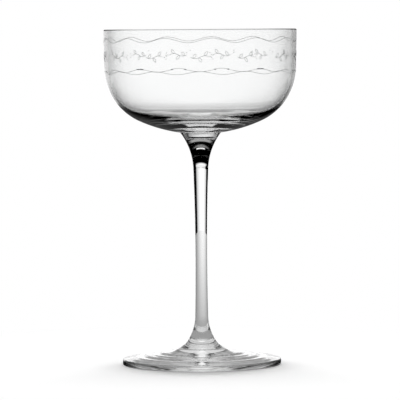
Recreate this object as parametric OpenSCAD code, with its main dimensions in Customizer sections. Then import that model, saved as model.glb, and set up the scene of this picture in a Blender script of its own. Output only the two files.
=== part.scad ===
// Champagne coupe of clear blown glass, in millimetres, standing on z = 0 with its axis on z.
// Three gathers of glass are joined hot: a dished bowl, a drawn stem and a pressed foot.
// Every piece is turned from an outline of lines and arcs that run into each other without a kink.

/* [Whole glass] */
// Height from the table to the lip
total_h = 165; // [140:1:200]

/* [Bowl, outside] */
// Diameter across the lip
rim_d = 95; // [80:1:115]
// Length of the straight wall under the lip
wall_l = 18.7; // [14:0.1:24]
// Lean of the wall in degrees, drawing in downwards
wall_lean = 1.3; // [0.5:0.1:3]
// Radius of the shoulder where the wall turns under
shoulder_r = 29; // [26:0.5:35]
// Radius of the shallow dome under the bowl
dome_r = 73; // [60:1:90]

/* [Bowl, inside] */
// Thickness of the wall at the lip
lip_t = 1.1; // [0.9:0.05:1.5]
// Thickness of the wall around the shoulder
shoulder_t = 1.3; // [1:0.1:2]
// Angle in degrees below level at which the inside leaves the shoulder's curve
corner_dip = 35.5; // [20:0.5:50]
// Radius of the tighter inside corner between shoulder and floor
corner_r = 22.5; // [16:0.5:25]
// Radius of the dished floor
floor_r = 205; // [150:5:260]

/* [Stem] */
// Diameter of the seam between bowl and stem
neck_d = 20; // [16:0.5:24]
// Radius of the hollow curve under the bowl
neck_r = 31; // [25:0.5:37]
// Diameter at the waist, where the stem is thinnest
waist_d = 5.75; // [4.75:0.05:7.25]
// Height of the waist above the table
waist_z = 52; // [42:1:62]
// Radius of the long curve along the stem
stem_r = 1200; // [1000:10:1500]
// Radius of the hollow curve at the stem's lower end
flare_r = 22; // [18:0.5:26.5]
// Lean of the side at the seam between stem and foot, in degrees from upright
seam_lean = 31; // [25:1:40]

/* [Foot] */
// Diameter of the foot
foot_d = 78; // [64:1:94]
// Thickness of the foot at its edge
edge_t = 2.8; // [2.2:0.1:3.5]
// Radius of the fire-polished corners of the edge
edge_round = 0.8; // [0.4:0.1:1]
// Slope of the foot's upper face in degrees
foot_slope = 9.3; // [7:0.1:12]
// Radius of the hollow curve from the foot's upper face to the seam
hub_r = 13; // [10.5:0.5:16]
// Width of the flat ring that the glass stands on
rest_w = 4; // [3:0.25:6]
// Depth of the hollow under the foot
kick_depth = 1; // [0.6:0.1:1.4]

/* [Hidden] */
$fa = 2;
$fs = 0.3;
// Widest gap between a curve and the chords that stand for it
chord_gap = 0.01;
clear_glass = [0.90, 0.93, 0.94, 0.45];

// Unit vector at an angle in degrees, counted from +x
function heading(angle) = [cos(angle), sin(angle)];

// Angle of a vector, from 0 to 360 degrees
function bearing(vector) = (atan2(vector[1], vector[0]) + 360) % 360;

// Points along an arc, without its last one, which belongs to the next stretch of the outline
function arc(centre, radius, from, to) =
    let (steps = ceil(abs(to - from) / (2 * acos(1 - chord_gap / radius))))
    [for (i = [0 : steps - 1]) centre + radius * heading(from + (to - from) * i / steps)];

// How far a line runs from a point before it leaves a circle
function run_out(point, direction, centre, radius) =
    let (away = point - centre, along = away * direction)
    sqrt(along * along - away * away + radius * radius) - along;

// Place at given distances from two points, to the left of the way from the first to the second
function meet(first, first_gap, second, second_gap) =
    let (
        span = norm(second - first),
        ahead = (second - first) / span,
        left = [-ahead[1], ahead[0]],
        reach = (span * span + first_gap * first_gap - second_gap * second_gap) / (2 * span)
    )
    first + reach * ahead + sqrt(first_gap * first_gap - reach * reach) * left;

// The lip is half round, and the outer and inner walls start at its two sides
lip_r = lip_t / 2;
rim_r = rim_d / 2;
lip_centre = [rim_r - lip_r, total_h - lip_r];
outer_top = lip_centre + [lip_r, 0];
inner_top = lip_centre - [lip_r, 0];

// Outside of the bowl: a leaning wall, a shoulder and a dome whose centre lies on the axis
wall_end = outer_top - wall_l * [sin(wall_lean), cos(wall_lean)];
shoulder_centre = wall_end - shoulder_r * heading(-wall_lean);
dome_lift = sqrt(pow(dome_r - shoulder_r, 2) - pow(shoulder_centre[0], 2));
dome_centre = [0, shoulder_centre[1] + dome_lift];
shoulder_turn = bearing(shoulder_centre - dome_centre);

// Seam under the bowl, where the dome is as wide as the top of the stem
neck_seam_r = neck_d / 2;
neck_seam_z = dome_centre[1] - sqrt(pow(dome_r, 2) - pow(neck_seam_r, 2));
neck_seam = [neck_seam_r, neck_seam_z];

// Inside of the bowl: straight down to a curve that runs along the shoulder, a corner, and the dished floor
inside_r = shoulder_r - shoulder_t;
inside_way = inner_top - shoulder_centre;
inside_turn = bearing(inside_way) - acos(inside_r / norm(inside_way));
corner_centre = shoulder_centre + (inside_r - corner_r) * heading(-corner_dip);
floor_lift = sqrt(pow(floor_r - corner_r, 2) - pow(corner_centre[0], 2));
floor_centre = [0, corner_centre[1] + floor_lift];
floor_turn = bearing(corner_centre - floor_centre);

// Upper face of the foot, which rises from the edge towards the axis
foot_r = foot_d / 2;
foot_up = heading(90 - foot_slope);
foot_in = heading(180 - foot_slope);
edge_top = [foot_r, edge_t];

// Hollow curves of the stem: the neck and the flare each run into the long curve between them
waist_centre = [waist_d / 2 + stem_r, waist_z];
neck_centre = meet(waist_centre, stem_r - neck_r, neck_seam, neck_r);
neck_turn = bearing(neck_centre - waist_centre);

// The flare and the foot's hub have one direction at the seam, so their centres lie in line with it
seam_turn = 180 + seam_lean;
hub_to_flare = (hub_r - flare_r) * heading(seam_turn);
flare_start = edge_top + hub_r * foot_up + hub_to_flare;
flare_centre = flare_start + run_out(flare_start, foot_in, waist_centre, stem_r - flare_r) * foot_in;
flare_turn = bearing(flare_centre - waist_centre);
hub_centre = flare_centre - hub_to_flare;
foot_seam = hub_centre + hub_r * heading(seam_turn);

// Blown bowl: a thin wall that thickens below the corner into a solid base, with a fire-polished lip
module bowl() {
    color(clear_glass)
    rotate_extrude()
    polygon(concat(
        [[0, neck_seam_z]],
        arc(dome_centre, dome_r, bearing(neck_seam - dome_centre), shoulder_turn),
        arc(shoulder_centre, shoulder_r, shoulder_turn, 360 - wall_lean),
        [wall_end],
        arc(lip_centre, lip_r, 0, 180),
        [inner_top],
        arc(shoulder_centre, inside_r, inside_turn, -corner_dip),
        arc(corner_centre, corner_r, -corner_dip, floor_turn - 360),
        arc(floor_centre, floor_r, floor_turn, 270),
        [[0, floor_centre[1] - floor_r]]
    ));
}

// Drawn stem: flared at both ends to the width of its seams, and thinnest at the waist
module stem() {
    color(clear_glass)
    rotate_extrude()
    polygon(concat(
        [[0, foot_seam[1]]],
        arc(flare_centre, flare_r, seam_turn, flare_turn),
        arc(waist_centre, stem_r, flare_turn, neck_turn),
        arc(neck_centre, neck_r, neck_turn, bearing(neck_seam - neck_centre)),
        [neck_seam, [0, neck_seam_z]]
    ));
}

// Pressed foot: a shallow cone that sweeps up to the stem, hollowed underneath to stand on a ring
module foot() {
    edge_centre_r = foot_r - edge_round;
    low_centre = [edge_centre_r, edge_round];
    high_centre = [edge_centre_r, edge_t + edge_round * (tan(foot_slope) - 1 / cos(foot_slope))];
    rest_inner = [edge_centre_r - rest_w, 0];
    kick_r = (pow(rest_inner[0], 2) + pow(kick_depth, 2)) / (2 * kick_depth);
    kick_centre = [0, kick_depth - kick_r];
    color(clear_glass)
    rotate_extrude()
    polygon(concat(
        arc(kick_centre, kick_r, 90, bearing(rest_inner - kick_centre)),
        [rest_inner],
        arc(low_centre, edge_round, -90, 0),
        arc(high_centre, edge_round, 0, 90 - foot_slope),
        [high_centre + edge_round * foot_up],
        arc(hub_centre, hub_r, 270 - foot_slope, seam_turn),
        [foot_seam, [0, foot_seam[1]]]
    ));
}

bowl();
stem();
foot();
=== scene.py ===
import math

import bpy
from mathutils import Matrix, Vector


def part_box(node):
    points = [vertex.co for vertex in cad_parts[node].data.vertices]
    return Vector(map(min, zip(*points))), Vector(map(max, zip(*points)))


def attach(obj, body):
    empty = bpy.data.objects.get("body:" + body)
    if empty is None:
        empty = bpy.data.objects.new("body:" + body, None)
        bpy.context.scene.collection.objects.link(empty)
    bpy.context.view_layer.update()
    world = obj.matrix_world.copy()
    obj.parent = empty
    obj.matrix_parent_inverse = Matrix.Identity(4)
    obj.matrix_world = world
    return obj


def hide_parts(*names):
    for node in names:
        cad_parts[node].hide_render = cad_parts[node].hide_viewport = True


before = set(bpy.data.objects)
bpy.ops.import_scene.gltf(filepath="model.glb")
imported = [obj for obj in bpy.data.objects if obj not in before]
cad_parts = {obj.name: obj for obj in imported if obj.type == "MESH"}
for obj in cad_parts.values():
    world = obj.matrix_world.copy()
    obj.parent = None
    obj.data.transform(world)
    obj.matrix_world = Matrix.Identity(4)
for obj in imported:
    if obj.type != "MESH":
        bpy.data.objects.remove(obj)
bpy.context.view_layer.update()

# Foot
# The real foot is a gather of clear glass, pressed into a disc while soft and swept up in the middle.
# Its edge is fire-polished, and underneath it is hollowed a little, so that it stands on a ring.
MM = 0.001
foot_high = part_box("foot")[1]
foot_radius = foot_high.x
foot_seam_z = foot_high.z
foot_edge = 2.8 * MM
foot_polish = 0.8 * MM
foot_slope = math.radians(9.3)
foot_rest = 4.0 * MM
foot_kick = 1.0 * MM
# Ripples on the upper face, each as how many there are and its share of the depth
ripple_waves = ((3.1, 1.0), (5.7, 0.7))
ripple_depth = 0.13 * MM
ripple_points = 64
hub_radius = 13.0 * MM
flare_radius = 22.0 * MM
seam_turn = math.radians(180 + 31)
waist_radius = 2.875 * MM
waist_z = 52.0 * MM
stem_bow = 1200.0 * MM
turning_steps = 256
turning_weld = 0.0005 * MM
smooth_under = math.radians(30)
small_curve_step = math.radians(10)
curve_step = math.radians(1.5)
fine_step = math.radians(0.75)
kick_step = math.radians(0.2)


def heading(angle):
    """Unit vector in the plane of an outline, which holds radius and height."""
    return Vector((math.cos(angle), math.sin(angle)))


def bearing(vector):
    return math.atan2(vector.y, vector.x)


def arc(centre, radius, start, end, step=curve_step):
    """Points along an arc of an outline, without its last one."""
    count = max(1, math.ceil(abs(end - start) / step))
    return [centre + radius * heading(start + (end - start) * i / count) for i in range(count)]


def rippled(start, end):
    """Points along a straight stretch of an outline with shallow ripples, without its last one."""
    left = Vector((start.y - end.y, end.x - start.x)).normalized()
    points = []
    for part in [i / ripple_points for i in range(ripple_points)]:
        swell = sum(share * math.sin(math.tau * count * part) for count, share in ripple_waves)
        points.append(start.lerp(end, part) + ripple_depth * math.sin(math.pi * part) * swell * left)
    return points


def run_out(point, direction, centre, radius):
    """How far a line runs from a point before it leaves a circle."""
    away = point - centre
    along = away.dot(direction)
    return math.sqrt(along * along - away.length_squared + radius * radius) - along


def turned(name, outline):
    """Draws an outline from the axis back to the axis, edge by edge, and spins it into a closed solid."""
    bpy.ops.object.select_all(action="DESELECT")
    bpy.ops.mesh.primitive_plane_add(size=1.0 * MM)
    piece = bpy.context.object
    piece.name = name
    bpy.ops.object.mode_set(mode="EDIT")
    bpy.ops.mesh.merge(type="CENTER")
    here = Vector((0, 0))
    for count, there in enumerate(outline):
        step = (there.x - here.x, 0, there.y - here.y)
        if count:
            bpy.ops.mesh.extrude_vertices_move(TRANSFORM_OT_translate={"value": step})
        else:
            bpy.ops.transform.translate(value=step)
        here = there
    bpy.ops.mesh.select_all(action="SELECT")
    bpy.ops.mesh.spin(steps=turning_steps, angle=math.tau, center=(0, 0, 0), axis=(0, 0, 1))
    bpy.ops.mesh.select_all(action="SELECT")
    bpy.ops.mesh.remove_doubles(threshold=turning_weld)
    bpy.ops.mesh.normals_make_consistent(inside=False)
    bpy.ops.object.mode_set(mode="OBJECT")
    bpy.ops.object.shade_smooth_by_angle(angle=smooth_under)
    return piece


foot_up = heading(math.radians(90) - foot_slope)
foot_in = heading(math.radians(180) - foot_slope)
waist_centre = Vector((waist_radius + stem_bow, waist_z))
hub_to_flare = (hub_radius - flare_radius) * heading(seam_turn)
flare_start = Vector((foot_radius, foot_edge)) + hub_radius * foot_up + hub_to_flare
flare_run = run_out(flare_start, foot_in, waist_centre, stem_bow - flare_radius)
flare_centre = flare_start + foot_in * flare_run
hub_centre = flare_centre - hub_to_flare
foot_seam = Vector(((hub_centre + hub_radius * heading(seam_turn)).x, foot_seam_z))

polish_r = foot_radius - foot_polish
polish_rise = foot_polish * (math.tan(foot_slope) - 1 / math.cos(foot_slope))
low_polish = Vector((polish_r, foot_polish))
high_polish = Vector((polish_r, foot_edge + polish_rise))
rest_inner = Vector((polish_r - foot_rest, 0))
kick_radius = (rest_inner.x ** 2 + foot_kick ** 2) / (2 * foot_kick)
kick_centre = Vector((0, foot_kick - kick_radius))
foot_outline = (
    arc(kick_centre, kick_radius, math.pi / 2, bearing(rest_inner - kick_centre), kick_step)
    + [rest_inner]
    + arc(low_polish, foot_polish, -math.pi / 2, 0, small_curve_step)
    + arc(high_polish, foot_polish, 0, math.pi / 2 - foot_slope, small_curve_step)
    + rippled(high_polish + foot_polish * foot_up, hub_centre - hub_radius * foot_up)
    + arc(hub_centre, hub_radius, 1.5 * math.pi - foot_slope, seam_turn, fine_step)
    + [foot_seam, Vector((0, foot_seam_z))]
)
foot = turned("foot", foot_outline)


def reckon(tree, operation, *values):
    """A Math node on values that are numbers or the outputs of other nodes."""
    node = tree.nodes.new("ShaderNodeMath")
    node.operation = operation
    for socket, value in zip(node.inputs, values):
        if isinstance(value, (int, float)):
            socket.default_value = value
        else:
            tree.links.new(value, socket)
    return node.outputs["Value"]


def product(tree, first, *others):
    for other in others:
        first = reckon(tree, "MULTIPLY", first, other)
    return first


def axes_of(tree, coordinates):
    """X, Y and Z of a kind of texture coordinates."""
    place = tree.nodes.new("ShaderNodeTexCoord")
    axes = tree.nodes.new("ShaderNodeSeparateXYZ")
    tree.links.new(place.outputs[coordinates], axes.inputs["Vector"])
    return axes.outputs["X"], axes.outputs["Y"], axes.outputs["Z"]


def off_axis(tree, x, y):
    """Distance from the axis that the glass is turned about."""
    return reckon(tree, "SQRT", reckon(tree, "ADD", product(tree, x, x), product(tree, y, y)))


def fire_polish():
    """Node group for the faint rings that spinning and flame leave on glass: a height and a tint."""
    group = bpy.data.node_groups.new("fire_polish", "ShaderNodeTree")
    group.interface.new_socket("Rings", in_out="INPUT", socket_type="NodeSocketFloat")
    group.interface.new_socket("Round", in_out="INPUT", socket_type="NodeSocketFloat")
    group.interface.new_socket("Height", in_out="OUTPUT", socket_type="NodeSocketFloat")
    group.interface.new_socket("Tint", in_out="OUTPUT", socket_type="NodeSocketColor")
    given = group.nodes.new("NodeGroupInput")
    made = group.nodes.new("NodeGroupOutput")
    x, y, z = axes_of(group, "Object")
    radius = off_axis(group, x, y)
    calm_middle = 3.0 * MM
    spread = reckon(group, "DIVIDE", given.outputs["Round"], reckon(group, "ADD", radius, calm_middle))
    along = reckon(group, "ADD", radius, z)
    spot = group.nodes.new("ShaderNodeCombineXYZ")
    group.links.new(product(group, along, given.outputs["Rings"]), spot.inputs["X"])
    group.links.new(product(group, x, spread), spot.inputs["Y"])
    group.links.new(product(group, y, spread), spot.inputs["Z"])
    waves = group.nodes.new("ShaderNodeTexNoise")
    waves.inputs["Scale"].default_value = 1.0
    waves.inputs["Detail"].default_value = 1.0
    waves.inputs["Roughness"].default_value = 0.4
    tint = group.nodes.new("ShaderNodeMix")
    tint.data_type = "RGBA"
    tint.inputs["A"].default_value = (0.985, 0.99, 0.99, 1)
    tint.inputs["B"].default_value = (1.0, 1.0, 1.0, 1)
    group.links.new(spot.outputs["Vector"], waves.inputs["Vector"])
    group.links.new(waves.outputs["Fac"], made.inputs["Height"])
    group.links.new(waves.outputs["Fac"], tint.inputs["Factor"])
    group.links.new(tint.outputs["Result"], made.inputs["Tint"])
    return group


polish_group = fire_polish()


def clear_glass(name, rings, unevenness, wave_depth):
    """Clear glass with the rings of its making: how many per metre, how uneven around, and how deep."""
    material = bpy.data.materials.new(name)
    material.use_nodes = True
    nodes = material.node_tree.nodes
    links = material.node_tree.links
    surface = nodes["Principled BSDF"]
    surface.inputs["Roughness"].default_value = 0.0
    surface.inputs["IOR"].default_value = 1.51
    surface.inputs["Transmission Weight"].default_value = 1.0
    waves = nodes.new("ShaderNodeGroup")
    waves.node_tree = polish_group
    waves.inputs["Rings"].default_value = rings
    waves.inputs["Round"].default_value = unevenness
    bump = nodes.new("ShaderNodeBump")
    bump.inputs["Strength"].default_value = 1.0
    bump.inputs["Distance"].default_value = wave_depth
    links.new(waves.outputs["Height"], bump.inputs["Height"])
    links.new(bump.outputs["Normal"], surface.inputs["Normal"])
    links.new(waves.outputs["Tint"], surface.inputs["Base Color"])
    return material


def fused_seam():
    """The joint itself, where two gathers have run together and nothing is left to see."""
    material = bpy.data.materials.new("fused_seam")
    material.use_nodes = True
    surface = material.node_tree.nodes["Principled BSDF"]
    surface.inputs["Alpha"].default_value = 0.0
    surface.inputs["Specular IOR Level"].default_value = 0.0
    return material


seam_material = fused_seam()


def finish_glass(piece, material, seams):
    """Gives a piece its glass, and the faces of its seams the look of glass that has run together."""
    level = 0.9999
    near = 0.001 * MM
    piece.data.materials.append(material)
    piece.data.materials.append(seam_material)
    for face in piece.data.polygons:
        at_seam = any(abs(face.center.z - z) < near for z in seams)
        face.material_index = int(at_seam and abs(face.normal.z) > level)


foot_glass = clear_glass("foot_glass", rings=170.0, unevenness=0.5, wave_depth=0.03 * MM)
finish_glass(foot, foot_glass, [foot_seam_z])
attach(foot, "root")
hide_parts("foot")

# Stem
# The real stem is drawn out of a second gather of clear glass, which leaves it thinnest at its waist.
# It flares at both ends, and it is fused hot to the foot below and to the bowl above.
neck_seam_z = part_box("stem")[1].z
neck_seam_radius = 10.0 * MM
neck_seam = Vector((neck_seam_radius, neck_seam_z))
neck_radius = 31.0 * MM
bow_step = math.radians(0.02)


def meet(first, first_gap, second, second_gap):
    """Place at given distances from two points, to the left of the way from the first to the second."""
    span = (second - first).length
    ahead = (second - first) / span
    left = Vector((-ahead.y, ahead.x))
    reach = (span ** 2 + first_gap ** 2 - second_gap ** 2) / (2 * span)
    return first + reach * ahead + math.sqrt(first_gap ** 2 - reach ** 2) * left


neck_centre = meet(waist_centre, stem_bow - neck_radius, neck_seam, neck_radius)
neck_turn = bearing(neck_centre - waist_centre) % math.tau
neck_end = bearing(neck_seam - neck_centre) % math.tau
flare_turn = bearing(flare_centre - waist_centre) % math.tau
stem_outline = (
    [Vector((0, foot_seam_z)), foot_seam]
    + arc(flare_centre, flare_radius, seam_turn, flare_turn, fine_step)[1:]
    + arc(waist_centre, stem_bow, flare_turn, neck_turn, bow_step)
    + arc(neck_centre, neck_radius, neck_turn, neck_end, fine_step)
    + [neck_seam, Vector((0, neck_seam_z))]
)
stem = turned("stem", stem_outline)
stem_glass = clear_glass("stem_glass", rings=60.0, unevenness=1.0, wave_depth=0.006 * MM)
finish_glass(stem, stem_glass, [foot_seam_z, neck_seam_z])
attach(stem, "root")
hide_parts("stem")

# Bowl
# The real bowl is blown from clear glass. Its wall is thin at the fire-polished lip and thickens downwards,
# into a solid base that is fused hot to the stem.
bowl_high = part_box("bowl")[1]
rim_radius = bowl_high.x
lip_radius = 0.55 * MM
wall_length = 18.7 * MM
wall_lean = math.radians(1.3)
shoulder_radius = 29.0 * MM
shoulder_wall = 1.3 * MM
dome_radius = 73.0 * MM
corner_dip = math.radians(35.5)
corner_radius = 22.5 * MM
floor_radius = 205.0 * MM
floor_step = math.radians(0.4)


def level_run(start, end):
    """Points along a straight stretch, without its last one. Two of them keep its ends from looking bent."""
    return [start.lerp(end, part) for part in (0, 0.01, 0.5, 0.99)]


lip_centre = Vector((rim_radius - lip_radius, bowl_high.z - lip_radius))
outer_top = lip_centre + Vector((lip_radius, 0))
inner_top = lip_centre - Vector((lip_radius, 0))
wall_end = outer_top - wall_length * Vector((math.sin(wall_lean), math.cos(wall_lean)))
shoulder_centre = wall_end - shoulder_radius * heading(-wall_lean)
dome_lift = math.sqrt((dome_radius - shoulder_radius) ** 2 - shoulder_centre.x ** 2)
dome_centre = Vector((0, shoulder_centre.y + dome_lift))
shoulder_turn = bearing(shoulder_centre - dome_centre)
inside_radius = shoulder_radius - shoulder_wall
from_shoulder = inner_top - shoulder_centre
inside_turn = bearing(from_shoulder) - math.acos(inside_radius / from_shoulder.length)
inner_end = shoulder_centre + inside_radius * heading(inside_turn)
corner_centre = shoulder_centre + (inside_radius - corner_radius) * heading(-corner_dip)
floor_lift = math.sqrt((floor_radius - corner_radius) ** 2 - corner_centre.x ** 2)
floor_centre = Vector((0, corner_centre.y + floor_lift))
floor_turn = bearing(corner_centre - floor_centre)
bowl_outline = (
    [Vector((0, neck_seam_z))]
    + arc(dome_centre, dome_radius, bearing(neck_seam - dome_centre), shoulder_turn, fine_step)
    + arc(shoulder_centre, shoulder_radius, shoulder_turn, -wall_lean)
    + level_run(wall_end, outer_top)
    + arc(lip_centre, lip_radius, 0, math.pi, small_curve_step)
    + level_run(inner_top, inner_end)
    + arc(shoulder_centre, inside_radius, inside_turn, -corner_dip)
    + arc(corner_centre, corner_radius, -corner_dip, floor_turn)
    + arc(floor_centre, floor_radius, floor_turn, -math.pi / 2, floor_step)
    + [Vector((0, floor_centre.y - floor_radius))]
)
bowl = turned("bowl", bowl_outline)
bowl_glass = clear_glass("bowl_glass", rings=40.0, unevenness=1.5, wave_depth=0.008 * MM)
finish_glass(bowl, bowl_glass, [neck_seam_z])
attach(bowl, "root")
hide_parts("bowl")

# Engraved band
# On the real bowl fine lines are ground into the outside of the wall with a small wheel, which leaves them
# matt. The band is a plain one: two regular waves with a leafy sprig and its berries between them.
band_repeats = 13
band_line = 0.085 * MM
band_sink = 0.035 * MM
band_weld = 0.002 * MM
wave_steps = 14
upper_wave_z = 159.6 * MM
upper_wave_rise = 1.1 * MM
lower_wave_z = 144.0 * MM
lower_wave_rise = 0.7 * MM
sprig_z = 151.6 * MM
sprig_reach = 4.6 * MM
sprig_rise = 0.7 * MM
sprig_steps = 6
leaf_length = 2.6 * MM
leaf_half = 0.6 * MM
leaf_splay = math.radians(52)
leaf_steps = 4
leaf_places = ((-0.75, 1), (-0.15, -1), (0.45, 1))
berry_radius = 0.17 * MM
berry_sides = 6
berry_places = ((0.9 * MM, 0.0), (1.7 * MM, 1.0 * MM), (1.6 * MM, -0.9 * MM), (-11.0 * MM, 2.2 * MM))
deep_cut = (0.06, 0.065, 0.065, 1)
light_cut = (0.2, 0.21, 0.21, 1)
grit_scale = 900.0


def on_wall(along, z):
    """Point just under the bowl's outer face, at a length along the band and a height."""
    if z > wall_end.y:
        radius = outer_top.x - (outer_top.y - z) * math.tan(wall_lean)
    else:
        radius = shoulder_centre.x + math.sqrt(shoulder_radius ** 2 - (z - shoulder_centre.y) ** 2)
    turn = along / rim_radius
    return (radius - band_sink) * Vector((math.sin(turn), -math.cos(turn), 0)) + Vector((0, 0, z))


def engrave(line):
    """Adds one line of the band to the mesh in hand, point by point."""
    bpy.ops.mesh.select_all(action="DESELECT")
    bpy.ops.mesh.primitive_plane_add(size=1.0 * MM)
    bpy.ops.mesh.merge(type="CENTER")
    here = Vector((0, 0, 0))
    for count, (along, z) in enumerate(line):
        there = on_wall(along, z)
        if count:
            bpy.ops.mesh.extrude_vertices_move(TRANSFORM_OT_translate={"value": there - here})
        else:
            bpy.ops.transform.translate(value=there - here)
        here = there


def leaf(along, z, lean):
    """Outline of a pointed leaf, from its stalk round to its stalk again."""
    out = [(i / leaf_steps, math.sin(math.pi * i / leaf_steps)) for i in range(leaf_steps + 1)]
    rim = out + [(reach, -swell) for reach, swell in reversed(out[:-1])]
    ahead = heading(lean)
    return [(along + leaf_length * reach * ahead.x - leaf_half * swell * ahead.y,
             z + leaf_length * reach * ahead.y + leaf_half * swell * ahead.x) for reach, swell in rim]


def stalk_z(along):
    return sprig_z + sprig_rise * math.sin(math.pi * along / sprig_reach)


period = math.tau * rim_radius / band_repeats
bpy.ops.object.select_all(action="DESELECT")
bpy.ops.mesh.primitive_plane_add(size=1.0 * MM)
bpy.context.object.name = "engraved_band"
bpy.ops.object.mode_set(mode="EDIT")
bpy.ops.mesh.delete(type="VERT")
turns = [i / wave_steps - 0.5 for i in range(wave_steps + 1)]
stalk = [sprig_reach * i / sprig_steps for i in range(-sprig_steps, sprig_steps + 1)]
engrave([(period * i, upper_wave_z + upper_wave_rise * math.sin(math.tau * i)) for i in turns])
engrave([(period * i, lower_wave_z + lower_wave_rise * math.cos(math.tau * i)) for i in turns])
engrave([(along, stalk_z(along)) for along in stalk])
for share, side in leaf_places:
    start = sprig_reach * share
    engrave(leaf(start, stalk_z(start), side * leaf_splay))
for step, rise in berry_places:
    middle = Vector((sprig_reach + step, sprig_z + rise))
    dot = [middle + berry_radius * heading(math.tau * i / berry_sides) for i in range(berry_sides + 1)]
    engrave([(point.x, point.y) for point in dot])
bpy.ops.mesh.select_all(action="SELECT")
bpy.ops.mesh.spin(steps=band_repeats, dupli=True, angle=math.tau, center=(0, 0, 0), axis=(0, 0, 1))
bpy.ops.mesh.select_all(action="SELECT")
bpy.ops.mesh.remove_doubles(threshold=band_weld)
bpy.ops.object.mode_set(mode="OBJECT")
bpy.ops.object.convert(target="CURVE")
lines = bpy.context.object.data
lines.bevel_depth = band_line
lines.bevel_resolution = 1
lines.use_fill_caps = True
bpy.ops.object.convert(target="MESH")
band = bpy.context.object
bpy.ops.object.shade_smooth()

ground_glass = bpy.data.materials.new("ground_glass")
ground_glass.use_nodes = True
nodes = ground_glass.node_tree.nodes
links = ground_glass.node_tree.links
surface = nodes["Principled BSDF"]
surface.inputs["Roughness"].default_value = 0.9
surface.inputs["Specular IOR Level"].default_value = 0.2
place = nodes.new("ShaderNodeTexCoord")
grit = nodes.new("ShaderNodeTexNoise")
grit.inputs["Scale"].default_value = grit_scale
shade = nodes.new("ShaderNodeMix")
shade.data_type = "RGBA"
shade.inputs["A"].default_value = deep_cut
shade.inputs["B"].default_value = light_cut
links.new(place.outputs["Object"], grit.inputs["Vector"])
links.new(grit.outputs["Fac"], shade.inputs["Factor"])
links.new(shade.outputs["Result"], surface.inputs["Base Color"])
band.data.materials.append(ground_glass)
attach(band, "root")

# Floor
# A plain pale table top, which the camera sees white, with the shadow of the glass on it. In the glass it
# shows a glow of painted light and shade, as between studio lights: bright behind the glass, more so with
# distance, and dark beside it.
floor_reach = 1.32
floor_drop = 0.02 * MM
floor_paint = (0.9, 0.9, 0.9, 1)
floor_glow = 0.155
white_from, white_at = 0.08, 0.2
back_glow, back_loss, back_fade = 1.10, 0.76, 2.0
back_turn, back_spread = math.radians(-10), math.radians(35)
side_glow, side_more = 0.05, 0.28
steep_glow = 1.08
under_glow, beneath_glow = 0.36, 0.7
# Sectors of the floor around the glass: middle, half width and soft edge in degrees, 0 being straight behind
side_sector = (0, 75, 30)
near_sector = (0, 25, 12)
right_sector = (135, 35, 25)
left_sector = (-65, 30, 25)
left_low_sector = (-105, 20, 15)
# Distances in metres between which something fades in
far_floor = (0.25, 1.0)
near_floor = (0.078, 0.088)
under_foot = (0.06, 0.042)
under_middle = (0.038, 0.012)
beneath_foot = (0.012, 0.006)
beneath_hub = (0.014, 0.02)
# Slant of a ray between which something fades in, from 0 straight down to 1 along the floor
low_rays, low_least = (0.86, 0.93), 0.1
right_steep = (0.82, 0.76)
left_steep = (0.64, 0.59)
beneath_steep = (0.66, 0.5)

bpy.ops.object.select_all(action="DESELECT")
bpy.ops.mesh.primitive_circle_add(vertices=128, radius=floor_reach, fill_type="NGON")
table = bpy.context.object
table.name = "table_top"
bpy.ops.object.mode_set(mode="EDIT")
bpy.ops.transform.translate(value=(0, 0, -floor_drop))
bpy.ops.object.mode_set(mode="OBJECT")


def soft_step(tree, value, edge_out, edge_in):
    """Rises softly from 0 at edge_out to 1 at edge_in."""
    node = tree.nodes.new("ShaderNodeMapRange")
    node.interpolation_type = "SMOOTHSTEP"
    node.inputs["From Min"].default_value = edge_out
    node.inputs["From Max"].default_value = edge_in
    tree.links.new(value, node.inputs["Value"])
    return node.outputs["Result"]


def hump(tree, angle, middle, half_width, edge):
    """1 within half_width of a middle angle in degrees, falling softly to 0 over an edge."""
    off_middle = reckon(tree, "SUBTRACT", angle, math.radians(middle))
    away = reckon(tree, "ABSOLUTE", reckon(tree, "WRAP", off_middle, math.pi, -math.pi))
    return soft_step(tree, away, math.radians(half_width + edge), math.radians(half_width))


def largest(tree, first, *others):
    for other in others:
        first = reckon(tree, "MAXIMUM", first, other)
    return first


def at_most(tree, depth, count):
    """1 while a depth of the light's path is at most a count, and otherwise 0."""
    return reckon(tree, "LESS_THAN", depth, count + 0.5)


def stage_paint(name):
    """A material of the set with an empty tree, and that tree."""
    material = bpy.data.materials.new(name)
    material.use_nodes = True
    material.node_tree.nodes.clear()
    return material, material.node_tree


def glow(tree, strength):
    """An Emission shader of a strength that is a number or the output of a node."""
    node = tree.nodes.new("ShaderNodeEmission")
    if isinstance(strength, (int, float)):
        node.inputs["Strength"].default_value = strength
    else:
        tree.links.new(strength, node.inputs["Strength"])
    return node.outputs["Emission"]


def either(tree, share, first, second):
    """The first shader where a share is 0 and the second where it is 1."""
    node = tree.nodes.new("ShaderNodeMixShader")
    tree.links.new(share, node.inputs["Fac"])
    tree.links.new(first, node.inputs[1])
    tree.links.new(second, node.inputs[2])
    return node.outputs["Shader"]


def put_out(tree, shader):
    out = tree.nodes.new("ShaderNodeOutputMaterial")
    tree.links.new(shader, out.inputs["Surface"])


table_paint_and_glow, tree = stage_paint("table_top")
x, y = axes_of(tree, "Object")[:2]
distance = off_axis(tree, x, y)
around = reckon(tree, "ARCTAN2", x, y)
seen = tree.nodes.new("ShaderNodeLightPath")
grazing = tree.nodes.new("ShaderNodeLayerWeight")
grazing.inputs["Blend"].default_value = 0.5
slant = grazing.outputs["Facing"]
straight = at_most(tree, seen.outputs["Glossy Depth"], 0)
mirrored = at_most(tree, seen.outputs["Transmission Depth"], 0)
through = reckon(tree, "SUBTRACT", 1.0, mirrored)
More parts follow.
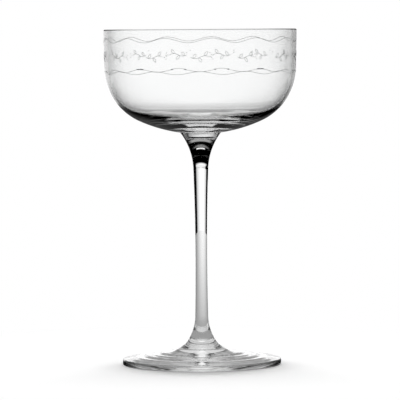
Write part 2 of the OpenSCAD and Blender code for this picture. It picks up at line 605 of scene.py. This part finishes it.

# Painted light and shade: the bright part behind the glass and the darker sides, dimmer near the glass to
# light that was reflected
fading = reckon(tree, "EXPONENT", product(tree, distance, -back_fade))
behind = reckon(tree, "SUBTRACT", back_glow, product(tree, fading, back_loss))
off_back = reckon(tree, "DIVIDE", reckon(tree, "SUBTRACT", around, back_turn), back_spread)
spread = reckon(tree, "EXPONENT", product(tree, off_back, off_back, -1.0))
side_level = reckon(tree, "ADD", side_glow, product(tree, straight, side_more))
side = product(tree, hump(tree, around, *side_sector), side_level)
painted_light = reckon(tree, "ADD", side, product(tree, reckon(tree, "SUBTRACT", behind, side), spread))
painted_light = product(tree, painted_light, largest(tree, straight, soft_step(tree, distance, *far_floor)))

# Painted light that the outside of the glass mirrors: a glow on the floor close behind it, where the ray
# runs low
low_ray = largest(tree, soft_step(tree, slant, *low_rays), low_least)
painted_light = product(tree, painted_light, largest(tree, low_ray, through))
near_part = product(tree, hump(tree, around, *near_sector), soft_step(tree, distance, *near_floor))
near = product(tree, near_part, low_ray, mirrored)

# Painted light on the open floor at the right front and at the left, which shows through the glass from its
# other sides
right_level = largest(tree, behind, product(tree, soft_step(tree, slant, *right_steep), steep_glow))
right = product(tree, right_level, hump(tree, around, *right_sector))
left_low = product(tree, behind, hump(tree, around, *left_low_sector))
left_level = product(tree, soft_step(tree, slant, *left_steep), steep_glow)
left_high = product(tree, left_level, hump(tree, around, *left_sector))
clear = product(tree, largest(tree, right, left_low, left_high), straight)

# Painted light on the floor under the foot, a glow that stands in for light reaching it through the glass
in_middle = soft_step(tree, reckon(tree, "ABSOLUTE", x), *under_middle)
under = product(tree, soft_step(tree, distance, *under_foot), in_middle, under_glow)
close_by = soft_step(tree, seen.outputs["Ray Length"], *beneath_foot)
steep = product(tree, soft_step(tree, slant, *beneath_steep), soft_step(tree, distance, *beneath_hub))
beneath = product(tree, close_by, steep, beneath_glow)

# All of the floor's glow in the glass is painted light and shade.
in_glass = glow(tree, largest(tree, under, beneath, painted_light, near, clear))
matt = tree.nodes.new("ShaderNodeBsdfDiffuse")
matt.inputs["Color"].default_value = floor_paint
pale = tree.nodes.new("ShaderNodeAddShader")
tree.links.new(matt.outputs["BSDF"], pale.inputs[0])
tree.links.new(glow(tree, floor_glow), pale.inputs[1])
far = soft_step(tree, distance, white_from, white_at)
to_camera = either(tree, far, pale.outputs["Shader"], glow(tree, 1.0))
put_out(tree, either(tree, seen.outputs["Is Camera Ray"], in_glass, to_camera))
table.data.materials.append(table_paint_and_glow)

# Reflector card, which glows with painted light
# A pale card, held level behind the stem with its glowing side down. Its glow is painted light that lights
# the foot from above, brightest along its middle, and it shows only in the glass below it.
card_place = (0, 0.64, 0.1)
card_size = (1.6, 1.22, 1)
card_level, card_more = 0.7, 0.28
card_middle = (0.03, 0.012)
card_far = (0.36, 0.46)
card_sector = (0, 14, 3)
card_wide_sector = (0, 24, 3)


def stage_card(name, place, turn, size):
    """A flat card of the set, which shows only in the glass and casts no shadow."""
    bpy.ops.object.select_all(action="DESELECT")
    bpy.ops.mesh.primitive_plane_add(size=1.0, location=place, rotation=(turn, 0, 0))
    made = bpy.context.object
    made.name = name
    made.scale = size
    bpy.ops.object.transform_apply(location=True, rotation=True, scale=True)
    made.visible_camera = False
    made.visible_diffuse = False
    made.visible_shadow = False
    return made


card = stage_card("glowing_card", card_place, math.pi, card_size)
card_glow_paint, tree = stage_paint("card_glow_paint")
x, y = axes_of(tree, "Object")[:2]
around = reckon(tree, "ARCTAN2", x, y)
seen = tree.nodes.new("ShaderNodeLightPath")
face = tree.nodes.new("ShaderNodeNewGeometry")
gone = tree.nodes.new("ShaderNodeBsdfTransparent")
once = at_most(tree, seen.outputs["Glossy Depth"], 1)
mirrored = at_most(tree, seen.outputs["Transmission Depth"], 0)
wide = product(tree, hump(tree, around, *card_wide_sector), once)
in_middle = soft_step(tree, reckon(tree, "ABSOLUTE", x), *card_middle)
level = reckon(tree, "ADD", card_level, product(tree, in_middle, card_more))
near_part = product(tree, largest(tree, hump(tree, around, *card_sector), wide), level)
far_part = product(tree, soft_step(tree, y, *card_far), mirrored)
# The card's glow: painted light, brighter along its middle
card_glow = glow(tree, reckon(tree, "ADD", near_part, far_part))
put_out(tree, either(tree, face.outputs["Backfacing"], card_glow, gone.outputs["BSDF"]))
card.data.materials.append(card_glow_paint)

# Dark flags
# Black cards stand upright on both sides behind the glass, so that the edges of the bowl mirror something
# dark. They are one sheet that is clear in the middle, and they show only in what the outside mirrors.
flags_place = (0, 0.16, 0.18)
flags_size = (1.2, 0.34, 1)
right_flag = (0.066, 0.086)
left_flag = (-0.066, -0.12)
left_flag_share = 0.8

flags = stage_card("dark_flags", flags_place, math.pi / 2, flags_size)
black_card, tree = stage_paint("black_card")
x = axes_of(tree, "Object")[0]
seen = tree.nodes.new("ShaderNodeLightPath")
gone = tree.nodes.new("ShaderNodeBsdfTransparent")
mirrored = at_most(tree, seen.outputs["Transmission Depth"], 0)
left_side = product(tree, soft_step(tree, x, *left_flag), left_flag_share)
beside = largest(tree, soft_step(tree, x, *right_flag), left_side)
put_out(tree, either(tree, product(tree, beside, mirrored), gone.outputs["BSDF"], glow(tree, 0.0)))
flags.data.materials.append(black_card)

# Studio light
# A bright backdrop stands behind the glass, with a panel above it, a bar overhead and a low light at the
# left, all seen only in the glass. An even dome, brighter low at the back, lights all that is not glass.
backdrop_top = (math.radians(6.3), math.radians(4.1))
backdrop_glow = 1.08
backdrop_turn, backdrop_bow = math.radians(-6), math.radians(42)
backdrop_sector = (-3.5, 30, 4)
backdrop_low = (math.radians(-6), math.radians(-2))
backdrop_more = 0.085
panel_rise = (33.2, 9.2, 0.8)
panel_sector = (0, 14, 4)
bar_tilt = (100, 3, 3)
bar_ends = (0.5, 0.3)
bar_glow = 0.4
left_light_sector = (-90, 14, 18)
dome_glow = 0.5
low_back_rise = (6, 3, 4)
low_back_sector = (0, 40, 20)
low_back_glow = 50.0

scene = bpy.context.scene
scene.world = bpy.data.worlds.new("studio")
scene.world.use_nodes = True
tree = scene.world.node_tree
tree.nodes.clear()
x, y, z = axes_of(tree, "Generated")
around = reckon(tree, "ARCTAN2", x, y)
height = reckon(tree, "ARCSINE", z)
seen = tree.nodes.new("ShaderNodeLightPath")
straight = at_most(tree, seen.outputs["Glossy Depth"], 0)
low_part = soft_step(tree, height, *backdrop_top)
off_middle = reckon(tree, "DIVIDE", reckon(tree, "SUBTRACT", around, backdrop_turn), backdrop_bow)
bowed = reckon(tree, "SUBTRACT", backdrop_glow, product(tree, off_middle, off_middle, backdrop_glow))
backdrop = product(tree, bowed, hump(tree, around, *backdrop_sector), low_part)
more = product(tree, backdrop, soft_step(tree, height, *backdrop_low), straight, backdrop_more)
panel = product(tree, hump(tree, height, *panel_rise), hump(tree, around, *panel_sector))
tilt = reckon(tree, "ARCTAN2", z, y)
bar_length = soft_step(tree, reckon(tree, "ABSOLUTE", x), *bar_ends)
up_to_twice = at_most(tree, seen.outputs["Glossy Depth"], 2)
bar = product(tree, hump(tree, tilt, *bar_tilt), bar_length, up_to_twice, bar_glow)
left_light = product(tree, hump(tree, around, *left_light_sector), low_part, straight)
lamps = reckon(tree, "ADD", reckon(tree, "ADD", backdrop, more), reckon(tree, "ADD", panel, bar))
through_glass = largest(tree, seen.outputs["Is Glossy Ray"], seen.outputs["Is Transmission Ray"])
in_glass = product(tree, through_glass, at_most(tree, seen.outputs["Diffuse Depth"], 0))
shown = product(tree, in_glass, largest(tree, lamps, left_light))
low_back = product(tree, hump(tree, height, *low_back_rise), hump(tree, around, *low_back_sector))
dome = reckon(tree, "ADD", dome_glow, product(tree, low_back, low_back_glow))
to_camera = seen.outputs["Is Camera Ray"]
not_camera = reckon(tree, "SUBTRACT", 1.0, to_camera)
plain = reckon(tree, "ADD", to_camera, product(tree, not_camera, dome))
not_glass = reckon(tree, "SUBTRACT", 1.0, in_glass)
sky = tree.nodes.new("ShaderNodeBackground")
sky.inputs["Color"].default_value = (1, 1, 1, 1)
out = tree.nodes.new("ShaderNodeOutputWorld")
tree.links.new(reckon(tree, "ADD", product(tree, not_glass, plain), shown), sky.inputs["Strength"])
tree.links.new(sky.outputs["Background"], out.inputs["Surface"])

# Enough bounces for light that runs round inside the glass
scene.cycles.max_bounces = 32
scene.cycles.transmission_bounces = 32
scene.cycles.glossy_bounces = 16
scene.cycles.transparent_max_bounces = 32
scene.cycles.caustics_reflective = False
scene.cycles.caustics_refractive = False
scene.view_settings.view_transform = "Standard"

# Camera
# It stands level with the lip, far enough away for a long lens, and looks down a little at the middle of
# the glass. It is rolled by about a third of a degree, as in the photograph.
eye = Vector((0, -1.6, 165.0 * MM))
aim = Vector((-0.49 * MM, 0, 81.0 * MM))
roll = math.radians(-0.37)
lens = bpy.data.cameras.new("camera")
lens.lens = 293.0
camera = bpy.data.objects.new("camera", lens)
scene.collection.objects.link(camera)
look = (aim - eye).to_track_quat("-Z", "Y").to_matrix()
camera.location = eye
camera.rotation_euler = (look @ Matrix.Rotation(roll, 3, "Z")).to_euler()
scene.camera = camera
